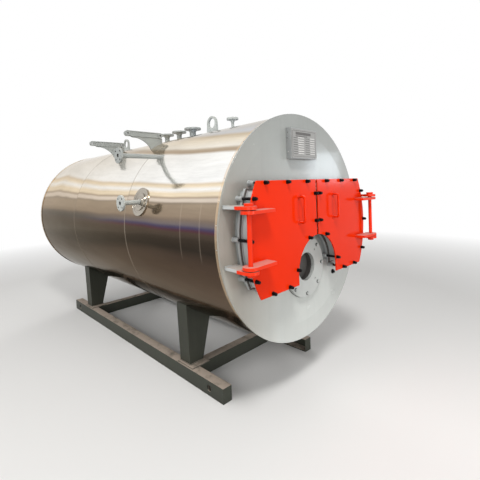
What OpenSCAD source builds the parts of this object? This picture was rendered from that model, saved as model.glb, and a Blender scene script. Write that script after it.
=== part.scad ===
// Horizontal fire-tube steam boiler on a skid, with two hinged smoke box doors.
// The front faces -Y, +X is right seen from the front, the floor is z = 0.
// y = 0 is the middle of the front cross member.

/* [Drum] */
// Outside radius of the clad drum
drum_r = 1088; // [1050:1:1120]
// Height of the drum's axis above the floor
axis_z = 1640; // [1600:1:1700]
// Length over both end plates
drum_len = 4850; // [4600:10:5400]
// Thickness of the drum shell and of both end plates
wall = 16; // [12:1:20]
// How far the front plate stands proud of the cladding
plate_lip = 12; // [8:1:30]
// Width of the trim band round each end of the cladding
band_w = 34; // [20:1:60]
// How far the trim bands and the rear plate stand proud of the cladding
band_t = 6; // [3:1:10]

/* [Smoke box doors] */
// Distance of the doors' round edge inside the cladding's radius
door_edge = 133; // [130:1:136]
// Height of the doors' straight top edge above the drum's axis
door_up = 460; // [455:1:470]
// Depth of the doors' straight bottom edge below the drum's axis
door_down = 477; // [470:1:490]
// Depth of the centre of the burner cut-out below the drum's axis
arch_down = 386; // [380:1:396]
// Radius of the burner cut-out in the door plates
arch_r = 322; // [318:1:326]
// Distance from the end plate to the doors' front face
door_face = 178; // [170:1:190]
// Thickness of the door plates
door_t = 12; // [8:1:14]
// Gap between the two doors
seam = 28; // [18:1:30]
// Depth of the fixed collar that the doors close on
collar_d = 62; // [50:1:70]
// Number of clamp studs along the round edge of each door
edge_studs = 3; // [2:1:4]
// Distance of each door handle from the middle plane
handle_x = 290; // [200:1:320]
// Half the distance between a handle's two feet
handle_half = 114; // [80:1:130]

/* [Door hinges] */
// Distance of each pin inside the cladding's radius
pin_in = 88; // [84:1:96]
// Distance of the pins ahead of the doors' front face
pin_out = 60; // [56:1:70]
// Radius of the hinge pins
pin_r = 18; // [14:1:24]
// Radius of the rounded ends of lugs and arms
eye_r = 62; // [50:1:64]
// Thickness of lugs, arms and bracket shelves
lug_t = 25; // [15:1:30]
// Depth of the underside of the lower lug below the drum's axis
lug_down = 225; // [210:1:240]
// Height of the top of the upper lug above the drum's axis
lug_up = 274; // [260:1:285]
// Length of the arms along the door face
arm_len = 250; // [200:5:300]

/* [Burner opening] */
// Depth of the burner plate's centre below the drum's axis
burner_down = 392; // [386:1:398]
// Radius of the burner plate
burner_r = 300; // [290:1:310]
// Radius of the opening
throat_r = 137; // [110:1:160]
// Thickness of the burner plate
burner_t = 36; // [20:1:44]
// Depth of the lined throat behind the end plate
throat_d = 350; // [200:10:500]
// Thickness of the throat lining
lining_t = 43; // [30:1:60]
// Distance of the burner's fixing holes from the middle of the opening
fixing_r = 208; // [190:1:230]

/* [Nozzles] */
// Height of the flange faces of the three large nozzles above the cladding
nozzle_h = 132; // [110:1:200]
// Height of the gauge nozzle's flange face above the cladding
gauge_h = 138; // [110:1:200]
// Distance of the steam nozzle behind the front plate
steam_y = 1715; // [1650:5:1730]
// Distance of the front valve nozzle behind the front plate
valve_a_y = 2030; // [1980:5:2060]
// Distance of the rear valve nozzle behind the front plate
valve_b_y = 2340; // [2290:5:2400]
// Distance of the gauge nozzle behind the front plate
gauge_y = 935; // [700:5:1100]
// Distance of both level pipes behind the front plate
level_y = 1272; // [1240:1:1300]
// Distance of the level pipes' flange faces outside the cladding's radius
level_out = 184; // [120:1:260]
// Height of the upper level pipe above the drum's axis
level_up = 770; // [740:1:800]
// Height of the lower level pipe above the drum's axis
level_low = 295; // [270:1:320]

/* [Lifting eyes and side brackets] */
// Distance of the front lifting eye behind the front plate
eye_y = 1305; // [1280:1:1340]
// Distance of the rear lifting eye behind the front one
eye_pitch = 2330; // [2200:10:2500]
// Thickness of the lifting eye plates
eye_t = 28; // [16:1:36]
// Distance of the front side bracket behind the front plate
side_y = 1837; // [1800:1:1880]
// Distance of the rear side bracket behind the front one
side_pitch = 1065; // [900:5:1200]
// Length of the brackets' bars between their end holes
side_len = 441; // [400:1:460]

/* [Base frame] */
// Distance of the rails' outer faces from the middle plane
rail_x = 731; // [715:1:760]
// Height of the rails
rail_h = 150; // [120:1:180]
// Width of the rail flanges
rail_w = 110; // [80:1:120]
// Distance of the rails' front ends behind the front plate
setback = 450; // [300:10:600]
// Length of the rails
rail_len = 3890; // [3700:10:4300]
// Distance of the front legs behind the front plate
leg_y = 1020; // [1000:1:1060]
// Distance of the rear leg pair behind the front pair
leg_pitch = 2715; // [2600:5:2800]
// Length of each leg along the rail
leg_d = 180; // [150:1:220]
// Thickness of leg plates
leg_t = 12; // [8:1:16]

/* [Rear smoke box] */
// Radius of the round box on the rear plate
rear_r = 700; // [600:5:760]
// Depth of the box
rear_d = 160; // [120:5:240]
// Radius of the flue opening
flue_r = 157; // [130:1:190]
// Height of the flue opening above the drum's axis
flue_up = 330; // [280:1:380]
// Length of the flue stub
flue_d = 140; // [80:5:240]

/* [Hidden] */
$fn = 96;
cross_y = 1030;
face_y = -cross_y;
cross_w = 110;
cross_pitch = 2675;
rail_t = 12;
sling_in = 203;
sling_r = 32;
pad_t = 8;
pad_lip = 79;
pad_len = 265;
leg_foot_in = 507;
leg_foot_out = 685;
leg_top_in = 385;
leg_top_out = 709;
plate_r = drum_r + plate_lip;
door_r = drum_r - door_edge;
door_top = axis_z + door_up;
door_bottom = axis_z - door_down;
arch_z = axis_z - arch_down;
burner_z = axis_z - burner_down;
top_w = sqrt(door_r * door_r - door_up * door_up);
bottom_w = sqrt(door_r * door_r - door_down * door_down);
stud_in = 17;
corner_in = 97;
seam_far = 164;
bottom_in = 140;
seam_high = 132;
seam_low = 388;
seam_in = 33;
stud_r = 12;
nut_r = 16.2;
nut_h = 20;
boss_r = 21;
box_in = 42;
box_seam = 64;
box_arch = 58;
box_rim = 8;
box_flat = 42;
rim_w = 24;
seal_t = 8;
pin_x = drum_r - pin_in;
pin_ahead = door_face + pin_out;
lower_lug_z = axis_z - lug_down;
upper_lug_z = axis_z + lug_up;
washer_h = 6;
arm_gap = 0.3;
arm_drop = 8;
arm_tip = 105;
lower_arm_z = lower_lug_z + lug_t + washer_h + arm_gap;
upper_arm_z = upper_lug_z - 2 * lug_t - arm_drop;
lug_lip = 45;
head_h = 22;
head_lip = 18;
washer_lip = 15;
pin_tail = 24;
pin_nut_h = 22;
pin_nut_lip = 12;
shelf_out = 45;
shelf_w = 195;
shelf_d = 150;
handle_up = 195;
handle_r = 11;
handle_out = 62;
board_w = 424;
board_h = 290;
board_d = 55;
board_up = 200;
drum_top = axis_z + drum_r;
steam_r = 42;
steam_flange_r = 112;
valve_r = 34;
valve_flange_r = 100;
gauge_r = 17;
gauge_flange_r = 69;
level_r = 24;
level_flange_r = 80;
pipe_t = 5;
cover_r = 150;
cover_boss_r = 95;
cover_t = 8;
cover_sunk = 40;
flange_t = 22;
bolt_in = 20;
bolt_r = 9;
level_x = drum_r + level_out;
hook_r = 62;
hook_up = 134;
bar_r = 33;
bar_up = 12;
bar_hole = 13;
side_in = 207;
side_x = drum_r - side_in;
gusset_foot = 300;
gusset_depth = 180;
gusset_mid = 81;
gusset_drop = 310;
gusset_r = 264;
grey = [0.69, 0.71, 0.70];
red = [0.93, 0.24, 0.13];
dark = [0.10, 0.10, 0.10];
steel = [0.82, 0.81, 0.78];
frame_grey = [0.33, 0.35, 0.33];

// Evenly spaced values from a to b.
function row(a, b, n) = [for (i = [0 : n - 1]) a + (b - a) * i / (n - 1)];

// Height of the drum's underside at a distance x from the middle plane.
function belly(x) = axis_z - sqrt(drum_r * drum_r - x * x);

// Places a part by its distance behind the front plate's face.
module behind(y) translate([0, face_y + y, 0]) children();

// Extrudes a shape drawn in X and Z from a to b ahead of the front plate.
module ahead(a, b) translate([0, face_y - a, 0]) rotate([90, 0, 0]) linear_extrude(b - a) children();

// Round bar along Y from a to b behind the front plate's face.
module barrel(a, b, r, z = axis_z) behind(a) translate([0, 0, z])
  rotate([-90, 0, 0]) cylinder(h = b - a, r = r, $fn = r > 500 ? 360 : 120);

// Ring along Y from a to b behind the front plate's face.
module band(a, b, r_out, r_in, z = axis_z) difference() {
  barrel(a, b, r_out, z);
  barrel(a - 1, b + 1, r_in, z);
}

// Draws a left-hand shape and its mirror image.
module both() {
  children();
  mirror([1, 0, 0]) children();
}

module front_plate() color(grey) difference() {
  barrel(0, wall, plate_r);
  barrel(-1, wall + 1, throat_r + lining_t, burner_z);
}

module drum_shell() color(steel) difference() {
  barrel(wall, drum_len - wall, drum_r);
  barrel(wall - 1, drum_len - wall + 1, drum_r - wall);
  way(steam_y, steam_r);
  way(valve_a_y, valve_r);
  way(valve_b_y, valve_r);
  way(gauge_y, gauge_r);
  level_way(level_up);
  level_way(level_low);
}

module rear_plate() color(grey) barrel(drum_len - wall, drum_len, drum_r + band_t);

module trim_bands() color(steel) {
  band(wall, wall + band_w, drum_r + band_t, drum_r);
  band(drum_len - wall - band_w, drum_len - wall, drum_r + band_t, drum_r);
}

module burner_plate() color(grey) difference() {
  barrel(-burner_t, 0, burner_r, burner_z);
  barrel(-burner_t - 1, 1, throat_r, burner_z);
  for (a = [45 : 90 : 315])
    translate([fixing_r * cos(a), face_y - burner_t - 1, burner_z + fixing_r * sin(a)])
      rotate([-90, 0, 0]) cylinder(h = burner_t + 2, r = 8, $fn = 24);
}

module burner_throat() color(dark) band(0, throat_d, throat_r + lining_t, throat_r, burner_z);

// Left half of the door outline, drawn smaller by the insets; the straight
// edges at the top and bottom go in by at_flat as well.
module door_half(inset, at_seam, at_arch, at_flat = 0) difference() {
  intersection() {
    translate([0, axis_z]) circle(door_r - inset, $fn = 360);
    translate([-door_r, door_bottom + inset + at_flat])
      square([door_r - at_seam, door_top - door_bottom - 2 * (inset + at_flat)]);
  }
  translate([0, arch_z]) circle(arch_r + at_arch, $fn = 180);
  translate([-arch_r - at_arch, door_bottom - 50])
    square([2 * (arch_r + at_arch), arch_z - door_bottom + 50]);
}

// Ring between two insets of the left door half.
module half_ring(d0, d1) difference() {
  door_half(box_in + d0, box_seam + d0, box_arch + d0, box_flat);
  door_half(box_in + d1, box_seam + d1, box_arch + d1, box_flat);
}

// Clamp stud positions of the left door as [x, z].
stud_xz = concat(
  [for (x = row(corner_in - top_w, -seam_far, 3)) [x, door_top - stud_in]],
  [for (a = row(20, -20, edge_studs)) [(stud_in - door_r) * cos(a), axis_z + (door_r - stud_in) * sin(a)]],
  [for (x = row(bottom_in - bottom_w, -arch_r - bottom_in, 2)) [x, door_bottom + stud_in]],
  [for (a = [8, 65]) [-(arch_r + 20) * cos(a), arch_z + (arch_r + 20) * sin(a)]],
  [for (z = [door_top - seam_high, door_top - seam_low]) [-seam_in, z]]
);

module smoke_box_collar() color(grey) both() {
  ahead(0, collar_d) half_ring(0, 12);
  ahead(collar_d - 22, collar_d) half_ring(-rim_w, 12);
  for (p = stud_xz) ahead(0, collar_d) translate(p) circle(boss_r, $fn = 36);
}

// Flat seal on the collar's rim, notched round the clamp studs.
module door_seal() color(dark) both() difference() {
  ahead(collar_d, collar_d + seal_t) half_ring(2 - rim_w, 12);
  for (p = stud_xz) ahead(collar_d - 1, collar_d + seal_t + 1) translate(p) circle(stud_r + 1, $fn = 36);
}

module door_studs() color(dark) both() for (p = stud_xz)
  ahead(collar_d, door_face - door_t - 0.3) translate(p) circle(stud_r, $fn = 24);

module door_plate() ahead(door_face - door_t, door_face) door_half(0, seam / 2, 0);

// Bent plate box behind a door, its outer edge turned out into a narrow rim.
module door_box() {
  ahead(collar_d + seal_t + 0.3, door_face - door_t) half_ring(0, 8);
  ahead(collar_d + seal_t + 0.3, collar_d + seal_t + 8) difference() {
    door_half(box_in - box_rim, box_seam, box_arch, box_flat);
    door_half(box_in + 8, box_seam + 8, box_arch + 8, box_flat);
  }
}

module door_lining() ahead(collar_d + seal_t + 20, door_face - door_t)
  door_half(box_in + 8, box_seam + 8, box_arch + 8, box_flat);

module nuts() for (p = stud_xz) {
  ahead(door_face, door_face + nut_h) translate(p) circle(nut_r, $fn = 6);
  ahead(door_face + nut_h, door_face + 2 * nut_h - 2) translate(p) circle(stud_r, $fn = 24);
}

// Arm on the door, seen from above: a round eye drawn into a bar that tapers to a square end.
module arm(z) translate([-pin_x, face_y, z]) difference() {
  union() {
    translate([0, -pin_ahead, 0]) cylinder(h = lug_t, r = eye_r);
    linear_extrude(lug_t) polygon([
      [0, -pin_ahead - eye_r], [arm_len, -door_face - arm_tip],
      [arm_len, -door_face], [0, -door_face]
    ]);
  }
  translate([0, -pin_ahead, -1]) cylinder(h = lug_t + 2, r = pin_r + 0.1);
}

module door_arms() {
  arm(lower_arm_z);
  arm(upper_arm_z);
}

module lug(z) translate([-pin_x, face_y - pin_ahead, z]) difference() {
  union() {
    cylinder(h = lug_t, r = eye_r);
    translate([-eye_r, 0, 0]) cube([eye_r + lug_lip, pin_ahead - shelf_d, lug_t]);
  }
  translate([0, 0, -1]) cylinder(h = lug_t + 2, r = pin_r + 0.1);
}

module hinge_lugs() color(red) both() {
  lug(lower_lug_z);
  lug(upper_lug_z - lug_t);
}

// Thick shelf welded flat to the end plate, cut back to clear the collar.
module shelf(z) difference() {
  translate([-pin_x - shelf_out, face_y - shelf_d, z]) cube([shelf_w, shelf_d, lug_t]);
  barrel(-shelf_d - 1, 1, door_r - box_in + rim_w + 0.3);
}

module brackets() {
  shelf(lower_lug_z);
  shelf(upper_lug_z - lug_t);
}

module hinge_pin() color(red) translate([-pin_x, face_y - pin_ahead, 0]) {
  translate([0, 0, lower_lug_z - pin_tail]) cylinder(h = upper_lug_z - lower_lug_z + pin_tail, r = pin_r);
  translate([0, 0, upper_lug_z]) cylinder(h = head_h, r = pin_r + head_lip);
  translate([0, 0, lower_lug_z + lug_t]) cylinder(h = washer_h, r = pin_r + washer_lip);
  translate([0, 0, lower_lug_z - pin_nut_h]) cylinder(h = pin_nut_h, r = pin_r + pin_nut_lip, $fn = 6);
}

// Round bar handle standing on two pads on the door face.
module handle() translate([-handle_x, face_y - door_face, axis_z + handle_up]) {
  for (s = [-1, 1]) translate([0, 0, s * handle_half]) {
    rotate([90, 0, 0]) cylinder(h = 6, r = 2 * handle_r, $fn = 36);
    rotate([90, 0, 0]) cylinder(h = handle_out - 2 * handle_r, r = handle_r, $fn = 36);
    translate([0, 2 * handle_r - handle_out, -s * 2 * handle_r]) rotate([0, -90, 0])
      rotate([0, 0, s > 0 ? 270 : 180])
        rotate_extrude(angle = 90, $fn = 48) translate([2 * handle_r, 0]) circle(handle_r, $fn = 36);
  }
  translate([0, -handle_out, 2 * handle_r - handle_half])
    cylinder(h = 2 * handle_half - 4 * handle_r, r = handle_r, $fn = 36);
}

module left_door() color(red) door_plate();
module right_door() color(red) mirror([1, 0, 0]) door_plate();
module left_door_box() color(grey) door_box();
module right_door_box() color(grey) mirror([1, 0, 0]) door_box();
module left_door_lining() color(steel) door_lining();
module right_door_lining() color(steel) mirror([1, 0, 0]) door_lining();
module left_door_arms() color(red) door_arms();
module right_door_arms() color(red) mirror([1, 0, 0]) door_arms();
module left_door_handle() color(red) handle();
module right_door_handle() color(red) mirror([1, 0, 0]) handle();
module left_door_nuts() color(dark) nuts();
module right_door_nuts() color(dark) mirror([1, 0, 0]) nuts();
module left_hinge_bracket() color(grey) brackets();
module right_hinge_bracket() color(grey) mirror([1, 0, 0]) brackets();
module left_hinge_pin() hinge_pin();
module right_hinge_pin() mirror([1, 0, 0]) hinge_pin();

module nameplate_box() color(grey) translate([-board_w / 2, face_y - board_d, door_top + board_up])
  cube([board_w, board_d, board_h]);

module data_plate() color(steel) translate([8 - board_w / 2, face_y - board_d - 3, door_top + board_up + 8])
  cube([board_w - 16, 3, board_h - 16]);

// Bore of a nozzle on the drum's top line, open down into the drum.
module way(y, pipe_r) behind(y) translate([0, 0, axis_z]) cylinder(h = 2 * drum_r, r = pipe_r - pipe_t);

// Pipe stub with a coned flange standing on the drum's top line.
module nozzle(y, h, pipe_r, flange_r, holes) difference() {
  behind(y) {
    translate([0, 0, drum_top - 30]) cylinder(h = h + 30, r = pipe_r);
    translate([0, 0, drum_top + h - flange_t - 34]) cylinder(h = 34, r1 = pipe_r, r2 = pipe_r + 16);
    translate([0, 0, drum_top + h - flange_t]) cylinder(h = flange_t, r = flange_r);
  }
  way(y, pipe_r);
  barrel(0, drum_len, drum_r);
  behind(y) for (i = [0 : holes - 1]) rotate([0, 0, (i + 0.5) * 360 / holes])
    translate([flange_r - bolt_in, 0, drum_top + h - flange_t - 1])
      cylinder(h = flange_t + 2, r = bolt_r, $fn = 24);
}

module steam_nozzle() color(grey) nozzle(steam_y, nozzle_h, steam_r, steam_flange_r, 8);

module valve_nozzles() color(grey) for (y = [valve_a_y, valve_b_y])
  nozzle(y, nozzle_h, valve_r, valve_flange_r, 8);

module gauge_nozzle() color(grey) nozzle(gauge_y, gauge_h, gauge_r, gauge_flange_r, 4);

// Lifting eye on the drum's top line, its plate along the drum.
module eye(y) behind(y) translate([-eye_t / 2, 0, drum_top]) rotate([90, 0, 90])
  linear_extrude(eye_t) difference() {
    union() {
      translate([0, hook_up]) circle(hook_r + 26);
      polygon([
        [-hook_r - 34, -0.5], [hook_r + 34, -0.5],
        [hook_r + 24, hook_up + 16], [-hook_r - 24, hook_up + 16]
      ]);
    }
    translate([0, hook_up]) circle(hook_r);
  }

module lifting_lugs() color(grey) difference() {
  for (y = [eye_y, eye_y + eye_pitch]) eye(y);
  barrel(0, drum_len, drum_r);
}

// Upright plate 2 t thick in X and Z, measured from a side bracket's outer hole.
module side_plate(y, t) behind(y) translate([-side_x, t, drum_top + bar_up])
  rotate([90, 0, 0]) linear_extrude(2 * t) children();

// Side bracket: two holed ends joined by a thinner bar on a curved gusset.
module side_bracket(y) difference() {
  union() {
    for (x = [0, side_len]) side_plate(y, 20) translate([x, 0]) circle(bar_r);
    side_plate(y, 14) translate([0, -bar_r]) square([side_len, 2 * bar_r]);
    side_plate(y, 19) translate([0, bar_r - 12]) square([side_len, 12]);
    side_plate(y, 7) difference() {
      polygon([
        [40, -bar_r], [side_len + bar_r, -bar_r],
        [side_len + bar_r, -gusset_depth], [gusset_foot, -gusset_depth]
      ]);
      translate([gusset_mid, -gusset_drop]) circle(gusset_r);
    }
  }
  side_plate(y, 30) for (x = [0, side_len]) translate([x, 0]) circle(bar_hole, $fn = 36);
  barrel(0, drum_len, drum_r);
}

module side_brackets() color(grey) for (y = [side_y, side_y + side_pitch]) side_bracket(y);

// Bore of a level pipe, open into the drum.
module level_way(up) behind(level_y) translate([0, 0, axis_z + up])
  rotate([0, -90, 0]) cylinder(h = 2 * drum_r, r = level_r - pipe_t);

// Flanged level pipe leaving the drum to the left.
module level_pipe(up) difference() {
  behind(level_y) translate([0, 0, axis_z + up]) rotate([0, -90, 0]) {
    cylinder(h = level_x - 10, r = level_r);
    translate([0, 0, level_x - 20]) cylinder(h = 20, r = level_flange_r);
  }
  level_way(up);
  behind(level_y) translate([-level_x - 1, 0, axis_z + up]) rotate([0, 90, 0])
    for (a = [45 : 90 : 315]) rotate([0, 0, a])
      translate([level_flange_r - bolt_in, 0, 0]) cylinder(h = 22, r = bolt_r, $fn = 24);
  barrel(0, drum_len, drum_r);
}

module upper_level_pipe() color(grey) level_pipe(level_up);
module lower_level_pipe() color(grey) level_pipe(level_low);

// Round cover plate on the cladding round the lower level pipe.
module level_escutcheon() color(steel) difference() {
  behind(level_y) translate([0, 0, axis_z]) rotate([0, asin(level_low / drum_r) - 90, 0]) {
    translate([0, 0, drum_r - cover_sunk]) cylinder(h = cover_sunk + cover_t, r = cover_r);
    translate([0, 0, drum_r - cover_sunk]) cylinder(h = cover_sunk + 2 * cover_t, r = cover_boss_r);
  }
  barrel(0, drum_len, drum_r);
  behind(level_y) translate([0, 0, axis_z + level_low])
    rotate([0, -90, 0]) cylinder(h = 2 * drum_r, r = level_r + 0.3);
}

// Channel rail with its web outward and a sling hole near each end.
module rail() behind(setback) difference() {
  translate([-rail_x, 0, 0]) cube([rail_w, rail_len, rail_h]);
  translate([rail_t - rail_x, -1, rail_t]) cube([rail_w, rail_len + 2, rail_h - 2 * rail_t]);
  for (y = [sling_in, rail_len - sling_in]) translate([-rail_x - 1, y, rail_h / 2])
    rotate([0, 90, 0]) cylinder(h = rail_t + 2, r = sling_r);
}

module left_rail() color(frame_grey) rail();
module right_rail() color(frame_grey) mirror([1, 0, 0]) rail();

module rail_end_caps() color(frame_grey) both() for (y = [setback - 8, setback + rail_len])
  behind(y) translate([-rail_x, 0, 0]) cube([rail_w, 8, rail_h]);

module cross_members() color(frame_grey) for (y = [0, cross_pitch]) translate([0, y, 0]) difference() {
  union() {
    translate([rail_w - rail_x, -cross_w / 2, 0]) cube([2 * (rail_x - rail_w), cross_w, rail_h]);
    translate([rail_t - rail_x, -cross_w / 2, rail_t])
      cube([2 * (rail_x - rail_t), cross_w, rail_h - 2 * rail_t]);
  }
  translate([-rail_x, 10 - cross_w / 2, rail_t + 10])
    cube([2 * rail_x, cross_w - 20, rail_h - 2 * rail_t - 20]);
}

module leg_pads() color(frame_grey) both() for (y = [leg_y, leg_y + leg_pitch])
  behind(y - pad_lip) translate([-leg_foot_out - 28, 0, rail_h])
    cube([leg_foot_out - leg_foot_in + 55, pad_len, pad_t]);

// Section of a leg from front to back, inset by t for the hollow inside.
module leg_shape(t) polygon([
  [t - leg_foot_out, rail_h + pad_t + t], [-t - leg_foot_in, rail_h + pad_t + t],
  [-t - leg_top_in, belly(leg_top_in) + 18], [-t - leg_top_in, belly(leg_top_out) + 60],
  [t - leg_top_out, belly(leg_top_out) + 60]
]);

// Tapered box leg, cut to the drum on top.
module leg(y) difference() {
  behind(y + leg_d) rotate([90, 0, 0]) linear_extrude(leg_d) leg_shape(0);
  behind(y + leg_d - leg_t) rotate([90, 0, 0]) linear_extrude(leg_d - 2 * leg_t) leg_shape(leg_t);
  barrel(0, drum_len, drum_r);
}

module legs() color(frame_grey) both() for (y = [leg_y, leg_y + leg_pitch]) leg(y);

module rear_smoke_box() color(grey) band(drum_len, drum_len + rear_d, rear_r, rear_r - 10);

module rear_cover() color(grey) difference() {
  barrel(drum_len + rear_d, drum_len + rear_d + 14, rear_r + 40);
  barrel(drum_len + rear_d - 1, drum_len + rear_d + 15, flue_r, axis_z + flue_up);
}

module flue_outlet() color(grey) {
  band(drum_len + rear_d + 14, drum_len + rear_d + flue_d, flue_r + 8, flue_r, axis_z + flue_up);
  band(drum_len + rear_d + flue_d, drum_len + rear_d + flue_d + 16, flue_r + 58, flue_r, axis_z + flue_up);
}

front_plate();
drum_shell();
rear_plate();
trim_bands();
burner_plate();
burner_throat();
smoke_box_collar();
door_seal();
door_studs();
left_door();
left_door_box();
left_door_lining();
left_door_arms();
left_door_handle();
left_door_nuts();
right_door();
right_door_box();
right_door_lining();
right_door_arms();
right_door_handle();
right_door_nuts();
left_hinge_bracket();
right_hinge_bracket();
hinge_lugs();
left_hinge_pin();
right_hinge_pin();
nameplate_box();
data_plate();
steam_nozzle();
valve_nozzles();
gauge_nozzle();
lifting_lugs();
side_brackets();
upper_level_pipe();
lower_level_pipe();
level_escutcheon();
left_rail();
right_rail();
rail_end_caps();
cross_members();
leg_pads();
legs();
rear_smoke_box();
rear_cover();
flue_outlet();
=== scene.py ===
import math
import random
import bmesh
import bpy
from mathutils import Matrix, Vector


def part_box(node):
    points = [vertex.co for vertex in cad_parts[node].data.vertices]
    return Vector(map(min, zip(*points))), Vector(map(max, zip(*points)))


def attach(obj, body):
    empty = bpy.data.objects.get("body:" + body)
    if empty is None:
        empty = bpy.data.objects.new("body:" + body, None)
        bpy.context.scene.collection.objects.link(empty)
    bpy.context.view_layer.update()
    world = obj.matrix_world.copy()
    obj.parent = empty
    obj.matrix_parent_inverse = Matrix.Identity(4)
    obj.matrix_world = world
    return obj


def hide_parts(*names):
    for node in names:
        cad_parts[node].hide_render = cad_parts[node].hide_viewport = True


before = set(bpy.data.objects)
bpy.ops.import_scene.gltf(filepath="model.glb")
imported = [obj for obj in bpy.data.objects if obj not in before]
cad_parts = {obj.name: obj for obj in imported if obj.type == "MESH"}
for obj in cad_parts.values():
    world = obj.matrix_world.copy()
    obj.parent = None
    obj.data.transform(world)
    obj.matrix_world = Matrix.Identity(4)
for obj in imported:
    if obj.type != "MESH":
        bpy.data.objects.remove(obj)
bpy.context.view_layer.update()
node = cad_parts
scene = bpy.context.scene

# The camera stands at head height off the boiler's left front corner, with a
# wide lens tipped down a little. Its turn, tip and roll are in radians.
camera = bpy.data.objects.new("photo_camera", bpy.data.cameras.new("photo_camera"))
scene.collection.objects.link(camera)
camera.data.lens = 25.19
camera.data.sensor_width = 36
camera.data.shift_x = 0.0067
camera.data.shift_y = -0.0944
camera.data.clip_end = 300
camera_turn, camera_tip, camera_roll = 0.7712, -0.0264, -0.0370
camera.matrix_world = (
    Matrix.Translation((-2.7628, -2.9623, 2.0656))
    @ Matrix.Rotation(-camera_turn, 4, "Z")
    @ Matrix.Rotation(math.pi / 2 + camera_tip, 4, "X")
    @ Matrix.Rotation(camera_roll, 4, "Z")
)
scene.camera = camera
scene.view_settings.view_transform = "Standard"


# The studio: a plain pale floor that fades to white far away, a white
# surround that metal shows too, and six soft lamps.
def shader_node(tree, kind, settings=None, **sockets):
    """A shader node with its settings, and values or links for its sockets."""
    made = tree.nodes.new("ShaderNode" + kind)
    for key, value in (settings or {}).items():
        setattr(made, key, value)
    for key, value in sockets.items():
        numbered = key[0] == "i" and key[1:].isdigit()
        socket = made.inputs[int(key[1:]) if numbered else key.replace("_", " ")]
        if isinstance(value, bpy.types.NodeSocket):
            tree.links.new(value, socket)
        else:
            socket.default_value = value
    return made


def maths(tree, operation, *values, clamp=False):
    """The result of one Math node."""
    numbered = {f"i{number}": value for number, value in enumerate(values)}
    return shader_node(tree, "Math", {"operation": operation, "use_clamp": clamp}, **numbered).outputs[0]


def ramped(tree, value, start, end, low=0.0, high=1.0):
    """A value that runs from low to high while another runs from start to end."""
    made = shader_node(tree, "MapRange", Value=value, From_Min=start, From_Max=end, To_Min=low, To_Max=high)
    return made.outputs[0]


def blended(tree, amount, under, over):
    """One colour laid over another by an amount."""
    return shader_node(tree, "Mix", {"data_type": "RGBA"}, i0=amount, i6=under, i7=over).outputs[2]


def shown(tree):
    """1 where the camera looks, straight or through a mirror or glass, and 0 for light on things."""
    ray = shader_node(tree, "LightPath").outputs
    passed_on = maths(tree, "MAXIMUM", ray["Is Glossy Ray"], ray["Is Transmission Ray"])
    return maths(tree, "MAXIMUM", ray["Is Camera Ray"], passed_on)


floor_mesh = bpy.data.meshes.new("studio_floor")
floor_mesh.from_pydata([(-90, -90, 0), (90, -90, 0), (90, 90, 0), (-90, 90, 0)], [], [(0, 1, 2, 3)])
floor = bpy.data.objects.new("studio_floor", floor_mesh)
scene.collection.objects.link(floor)
floor.location.z = -0.001
floor_paint = bpy.data.materials.new("studio_floor")
floor_paint.use_nodes = True
tree = floor_paint.node_tree
plain = tree.nodes["Principled BSDF"]
seen = shown(tree)
pale = blended(tree, seen, (0.34, 0.33, 0.32, 1), (0.80, 0.79, 0.77, 1))
tree.links.new(pale, plain.inputs["Base Color"])
plain.inputs["Roughness"].default_value = 0.75
place = shader_node(tree, "TexCoord").outputs["Object"]
from_object = shader_node(tree, "VectorMath", {"operation": "DISTANCE"}, i0=place, i1=(0.0, 1.4, 0.0))
far = ramped(tree, from_object.outputs["Value"], 5.0, 11.0)
white = shader_node(tree, "Emission", Strength=1.0)
fade = shader_node(tree, "MixShader", i0=maths(tree, "MULTIPLY", seen, far), i1=plain.outputs[0],
                   i2=white.outputs[0])
tree.links.new(fade.outputs[0], tree.nodes["Material Output"].inputs["Surface"])
floor_mesh.materials.append(floor_paint)

world = bpy.data.worlds.new("studio")
scene.world = world
world.use_nodes = True
tree = world.node_tree
surround = tree.nodes["Background"]
surround.inputs["Color"].default_value = (1, 1, 1, 1)
light_strength = 0.35
tree.links.new(maths(tree, "MULTIPLY_ADD", shown(tree), 1.0 - light_strength, light_strength),
               surround.inputs["Strength"])
lamp_spread = math.radians(130)


def soft_lamp(name, place, aim, size, power, mirrored=True, tint=(1, 1, 1)):
    """A large square area lamp pointed at a place on the boiler, mirrored in its polished parts or not."""
    lamp = bpy.data.objects.new(name, bpy.data.lights.new(name, "AREA"))
    lamp.data.size = size
    lamp.data.energy = power
    lamp.location = place
    lamp.visible_camera = False
    lamp.rotation_mode = "QUATERNION"
    lamp.rotation_quaternion = (Vector(aim) - Vector(place)).to_track_quat("-Z", "Y")
    lamp.data.spread = lamp_spread
    lamp.data.color = tint
    lamp.visible_glossy = mirrored
    scene.collection.objects.link(lamp)


soft_lamp("top_lamp", (-3.4, -4.6, 9.0), (0, 0.3, 1.2), 1.7, 262)
soft_lamp("front_lamp", (0.4, -6.2, 1.3), (0, -1.0, 0.9), 2.2, 48)
soft_lamp("corner_lamp", (-7.5, -7.0, 2.6), (0, 0.5, 1.3), 5.0, 145)
soft_lamp("left_lamp", (-9.0, 2.0, 5.0), (0, 1.5, 1.4), 6.0, 210, mirrored=False)
soft_lamp("rear_lamp", (6.5, 10.0, 7.0), (0, 2.2, 1.6), 4.0, 165, mirrored=False)
soft_lamp("right_lamp", (8.1, -5.7, 2.6), (0.4, -1.0, 2.25), 1.1, 15.5, tint=(0.84, 0.93, 1.0))


# Front tube plate: a 16 mm steel disc that closes the drum, sprayed with
# light grey enamel, its rim standing 12 mm proud of the cladding.
plate_middle = 1.64


def new_finish(name):
    """A new material, its node tree, its surface shader, and where on the boiler a point lies."""
    mat = bpy.data.materials.new(name)
    mat.use_nodes = True
    tree = mat.node_tree
    return mat, tree, tree.nodes["Principled BSDF"], shader_node(tree, "TexCoord").outputs["Object"]


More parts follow.
